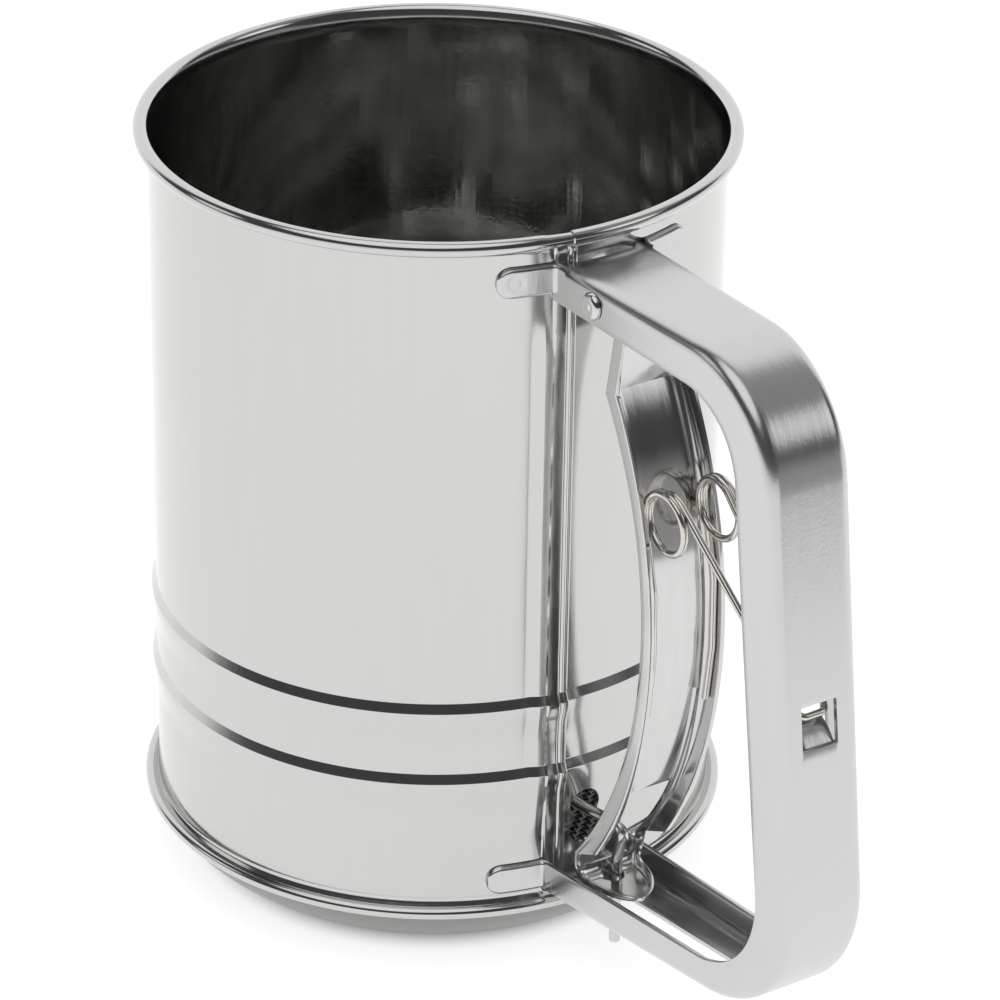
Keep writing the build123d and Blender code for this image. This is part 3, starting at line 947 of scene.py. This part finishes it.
def make_handle():
    """The bent channel with its slot and its window."""
    outer = rounded_line(HANDLE_OUTER, HANDLE_OUTER_RADII, RUN_STEPS, ARC_STEPS)
    edge = rounded_line(HANDLE_EDGE, HANDLE_EDGE_RADII, RUN_STEPS, ARC_STEPS)
    sections = [(a, b, handle_half(a.x), HANDLE_FOLD_R) for a, b in zip(outer, edge)]
    handle = channel("handle_channel", sections, HANDLE_SHEET, SATIN_STEEL, "frame",
                     ["handle"], ends=handle_ends)
    slot_middle = sum(SLOT_X) / 2
    cut(handle, prism(slot_outline((slot_middle, 0), (SLOT_X[1] - SLOT_X[0]) / 2, SLOT_HALF), 6, 26, "Z"))
    low, high = WINDOW_Z
    window = [(-WINDOW_HALF, low), (WINDOW_HALF, low), (WINDOW_HALF, high), (-WINDOW_HALF, high)]
    cut(handle, prism(window, GRIP_X + 4, 130, "X"))
    bevel(handle, 0.18)
    paint(handle, SATIN_STEEL)
    shade(handle, 40)


def ear_path(side):
    """The ear's plan: off the side wall, round a small fold and along the body."""
    middle_r = BODY_R + FIT_GAP + HANDLE_SHEET / 2
    wall_y = HALF_AT_BODY - HANDLE_SHEET / 2 - 0.03
    path = [Vector((x, wall_y)) for x in EAR_ROOT_X]
    fold_angle = math.asin(wall_y / middle_r) + 0.02
    target = Vector((middle_r * math.cos(fold_angle), middle_r * math.sin(fold_angle)))
    control = Vector((math.sqrt(middle_r**2 - wall_y**2) + 0.05, wall_y))
    begin = path[-1]
    for k in range(1, 9):
        t = k / 8
        path.append(begin * (1 - t) ** 2 + control * 2 * t * (1 - t) + target * t * t)
    end_angle = math.asin(EAR_Y / middle_r)
    for k in range(1, 37):
        angle = fold_angle + (end_angle - fold_angle) * k / 36
        path.append(Vector((middle_r * math.cos(angle), middle_r * math.sin(angle))))
    return [Vector((p.x, side * p.y)) for p in path]


def ear_half(left):
    """The ear's half height at a distance from its round tip."""
    if left >= EAR_HALF:
        return EAR_HALF
    return max(math.sqrt(max(0.0, EAR_HALF**2 - (EAR_HALF - left) ** 2)), 0.25)


def ear_sink(length, left, z, half, weld):
    """How far the ear's face lies below flat: the weld's ring and dimple, and the rounded edges."""
    away = math.hypot(length - weld[0], z - weld[1])
    near_edge = max(0.0, abs(z) / half - 0.72) / 0.28
    near_tip = max(0.0, 1 - left / 0.8)
    return 0.07 * dip(away, 1.0, 0.45) + 0.06 * dip(away, 0.0, 0.5) + 0.7 * max(near_edge, near_tip) ** 2.5


def make_ear(name, side, middle_z):
    """One spot-welded ear with its weld mark pressed into it."""
    path = ear_path(side)
    lengths = [0.0]
    for a, b in zip(path, path[1:]):
        lengths.append(lengths[-1] + (b - a).length)
    total = lengths[-1]
    rows = 25
    weld = (total - WELD_FROM_TIP, WELD_RAISED)
    verts = []
    for face_side in (1, -1):
        for i, point in enumerate(path):
            ahead = (path[min(i + 1, len(path) - 1)] - path[max(i - 1, 0)]).normalized()
            normal = Vector((ahead.y, -ahead.x))
            if normal.dot(point) < 0:
                normal = -normal
            left = total - lengths[i]
            half = ear_half(left)
            for k in range(rows):
                z = half * (-1 + 2 * k / (rows - 1))
                offset = face_side * HANDLE_SHEET / 2 * 0.98
                if face_side == 1:
                    offset -= ear_sink(lengths[i], left, z, half, weld)
                spot = point + normal * offset
                verts.append((spot.x, spot.y, middle_z + z))
    obj = make_object(name, verts, sheet_faces(len(path), rows), SATIN_STEEL, "frame")
    fix_normals(obj)
    shade(obj, 50)


def make_tab():
    """The tab pushed in from the window's lower edge."""
    rows = 9
    columns = 7
    skin = []
    for i in range(rows):
        t = i / (rows - 1)
        x = TAB_X - TAB_REACH * t
        z = WINDOW_Z[0] - 0.3 + TAB_LIFT * t + 0.5 * math.sin(math.pi * t)
        half = (WINDOW_HALF - 0.25) * (1 - 0.06 * t)
        for k in range(columns):
            skin.append((x, half * (-1 + 2 * k / (columns - 1)), z))
    tab = make_object("spring_tab", skin, grid_faces(rows, columns), SATIN_STEEL, "frame")
    face_outward(tab, (100, 0, 76))
    thicken(tab, 0.85)
    bevel(tab, 0.15)
    shade(tab, 40)


def domed_head(name, centre_y, side):
    """A low domed rivet head, slightly flattened by its setting tool."""
    rings = 18
    count = 48
    verts = []
    for i in range(rings + 1):
        r = RIVET_HEAD_R * math.sin(i / rings * math.pi / 2)
        lift = RIVET_HEAD_RISE * math.sqrt(max(0.0, 1 - (r / RIVET_HEAD_R) ** 5)) - 0.1 * dip(r, 0.9, 0.5)
        for k in range(count):
            angle = 2 * math.pi * k / count
            x = PIVOT[0] + r * math.cos(angle)
            z = PIVOT[1] + r * math.sin(angle)
            verts.append((x, centre_y + side * lift, z))
    verts.append((PIVOT[0], centre_y, PIVOT[1]))
    faces = grid_faces(rings + 1, count, close_columns=True)
    centre = len(verts) - 1
    last = rings * count
    for k in range(count):
        faces.append((last + k, last + (k + 1) % count, centre))
    obj = make_object(name, verts, faces, TRIGGER_STEEL, "frame")
    fix_normals(obj)
    shade(obj, 50)


def make_rivet():
    """Shank and both heads of the trigger's cross rivet."""
    reach = handle_half(PIVOT[0]) + 0.06
    line = [(PIVOT[0], y, PIVOT[1]) for y in (-reach, 0, reach)]
    wire("rivet_shank", line, RIVET_R, WIRE_STEEL, "frame", ["trigger_rivet"], ring=32)
    domed_head("rivet_head_near", -reach, -1)
    domed_head("rivet_head_far", reach, 1)


# ---------------------------------------------------------------- trigger

def bow_point(radius, z):
    """A point of an arc about the bow's centre, at a height."""
    return Vector((BOW[0] + math.sqrt(radius**2 - (z - BOW[1]) ** 2), z))


def foot_half(x):
    """The foot's half width: wide at the back, narrowing to a round tip."""
    return FOOT_HALF * math.sqrt(max(0.003, 1 - ((x - FOOT_WIDEST_X) / FOOT_REACH) ** 2))


def plate_and_bow_sections():
    """The lever's sections from the top plate to the bend, then down the bow."""
    sections = []
    top = Vector(PLATE_TOP)
    top_edge = top + Vector(PLATE_EDGE_STEP)
    bend = bow_point(BOW_R, BEND_Z)
    edge_r = BOW_R + TRIGGER_DEPTH
    edge_bend_z = BEND_Z + BEND_EDGE_RISE
    edge_low_z = BOW_LOW_Z + LOW_EDGE_RISE
    bend_edge = bow_point(edge_r, edge_bend_z)
    for k in (*range(12), 11.75):
        outer = top.lerp(bend, k / 12)
        edge = top_edge.lerp(bend_edge, k / 12)
        sections.append((outer, edge, TRIGGER_HALF, TRIGGER_FOLD_R))
    for k in (0, 0.25, *range(1, 61)):
        t = k / 60
        outer = bow_point(BOW_R, BEND_Z + (BOW_LOW_Z - BEND_Z) * t)
        edge = bow_point(edge_r, edge_bend_z + (edge_low_z - edge_bend_z) * t)
        fold = TRIGGER_FOLD_R + 0.5 * min(1.0, t * 4) - 0.5 * max(0.0, t * 4 - 3)
        sections.append((outer, edge, TRIGGER_HALF, fold))
    return sections


def foot_sections(corner):
    """The lever's sections from the bow's low end, round the foot's back and along the foot to its tip."""
    sections = []
    start = Vector(FOOT_START)
    back = Vector(FOOT_BACK)
    first_angle = math.atan2(LOW_EDGE_RISE, LOW_EDGE_OUT)
    for k in range(15):
        t = k / 14
        outer = corner * (1 - t) ** 2 + back * 2 * t * (1 - t) + start * t * t
        outer += Vector((0.0, -0.12)) * (1 - t)
        angle = first_angle + (math.pi / 2 - first_angle) * t ** 0.8
        edge = outer + Vector((math.cos(angle), math.sin(angle))) * (2.2 - 0.4 * t)
        half = TRIGGER_HALF + (foot_half(start.x) - TRIGGER_HALF) * soft(t)
        sections.append((outer, edge, half, TRIGGER_FOLD_R + 0.6 * soft(t)))
    for k in range(1, 25):
        t = math.sin(math.pi / 2 * k / 24)
        x = start.x + (FOOT_TIP_X - start.x) * t
        outer = Vector((x, start.y + 0.3 * t))
        edge = outer + Vector((0.3 * t, 1.8 - 0.9 * t ** 3))
        sections.append((outer, edge, foot_half(x), 2.2))
    return sections


def web_opening():
    """Outline of the round-cornered opening in the web above the foot."""
    low, high = OPENING_Z
    corners = ((1, high, 0), (-1, high, 90), (-1, low, 180), (1, low, 270))
    outline = []
    for side, z, start in corners:
        for k in range(7):
            angle = math.radians(start + 15 * k)
            outline.append((side * OPENING_HALF + 1.6 * math.cos(angle), z + 2.0 * math.sin(angle)))
    return outline


def make_trigger():
    """The lever: flat top, sharp bend, bowed channel, and a foot with its hole, a little to one side."""
    sections = plate_and_bow_sections()
    sections += foot_sections(sections[-1][0])
    lever = channel("trigger_channel", sections, TRIGGER_SHEET, TRIGGER_STEEL, "trigger",
                    ["trigger_lever"], steps=(5, 6, 10))
    cut(lever, prism(web_opening(), 50, 66.5, "X"))
    cut(lever, prism(round_outline((FOOT_HOLE_X, 0), FOOT_HOLE_R, 16), 16, 21.5, "Z"))
    for vertex in lever.data.vertices:
        vertex.co.y -= FOOT_SIDESTEP * MM * soft((24.0 - vertex.co.z / MM) / 4.0)
    bevel(lever, 0.15)
    paint(lever, TRIGGER_STEEL)
    shade(lever, 40)


def make_pivot_lugs():
    """The lever's two lugs that hang on the cross rivet."""
    for side, word in ((-1, "near"), (1, "far")):
        outline = []
        for k in range(21):
            angle = math.radians(60 + 190 * k / 20)
            x = PIVOT[0] + PIVOT_LOBE_R * math.cos(angle)
            z = PIVOT[1] + PIVOT_LOBE_R * math.sin(angle)
            outline.append((x, z))
        outline += LUG_ROOT
        low, high = sorted((side * (TRIGGER_HALF - TRIGGER_SHEET), side * TRIGGER_HALF))
        lug = prism(outline, low, high, "Y")
        lug.name = f"pivot_lug_{word}"
        bevel(lug, 0.12)
        finish_object(lug, TRIGGER_STEEL, "trigger")
        shade(lug, 40)


# ---------------------------------------------------------------- wires and spring

def make_drive_wire():
    """The bent drive wire: up through the foot's hole, over its hook, into the body and down to the crank."""
    line = rounded_line(WIRE_ROUTE, WIRE_BENDS, 14, 14)
    wire("drive_rod", line, WIRE_R, WIRE_STEEL, "link", ["drive_wire"], ring=20)


def coil_line(side, inner, outer):
    """One side of the spring: from the middle of the hook loop, round its coil, down its short leg."""
    hook = Vector((LOOP_X, 0, LOOP_Z))
    corner = Vector((LOOP_X, side * LOOP_HALF, LOOP_Z))
    steps = 72
    coil = []
    for k in range(steps + 1):
        t = k / steps
        angle = math.radians(COIL_START + COIL_SWEEP * t)
        x = COIL_X + COIL_MIDDLE_R * math.cos(angle)
        z = COIL_Z + COIL_MIDDLE_R * math.sin(angle)
        coil.append(Vector((x, side * (inner + (outer - inner) * t), z)))
    hook_part = rounded_line([hook, corner, coil[0]], [1.3], 24, 8)
    leg = [Vector((x, side * outer, z)) for x, z in SHORT_LEG]
    leg_part = rounded_line([coil[-1], *leg], SHORT_LEG_BENDS, 14, 8)
    return hook_part[:-1] + coil + leg_part[1:]


def make_spring():
    """The double torsion spring as one wire, running between the handle and the trigger."""
    near = coil_line(-1, 4.5, 6.0)
    far = coil_line(1, 4.7, 6.1)
    line = near[::-1] + far[1:]
    spring = wire("torsion_spring", line, SPRING_WIRE_R, SPRING_STEEL, None,
                  ["return_spring"], ring=14)
    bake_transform(spring)


# ---------------------------------------------------------------- agitator and other pieces left as in CAD

def finish_cad_nodes():
    """Materials for the CAD pieces that keep their own shape."""
    for node in ("agitator_blade_lower", "agitator_blade_upper", "hub_sleeve", "crank_arm", "support_strap"):
        paint(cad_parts[node], TRIGGER_STEEL)
    for node in ("agitator_rivet", "lower_washer", "upper_washer"):
        paint(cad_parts[node], WIRE_STEEL)


# ---------------------------------------------------------------- the scene

bpy.context.scene.view_settings.view_transform = "Standard"
bpy.context.scene.cycles.max_bounces = 16
bpy.context.scene.cycles.glossy_bounces = 14
make_camera()
make_world()
make_lamp()
make_floor()
make_body()
make_base_ring()
make_screen()
make_hoop()
make_handle()
for ear_z, ear_word in zip(EAR_HEIGHTS, ("top", "bottom")):
    make_ear(f"ear_{ear_word}_near", -1, ear_z)
    make_ear(f"ear_{ear_word}_far", 1, ear_z)
make_tab()
make_rivet()
make_trigger()
make_pivot_lugs()
make_drive_wire()
make_spring()
finish_cad_nodes()
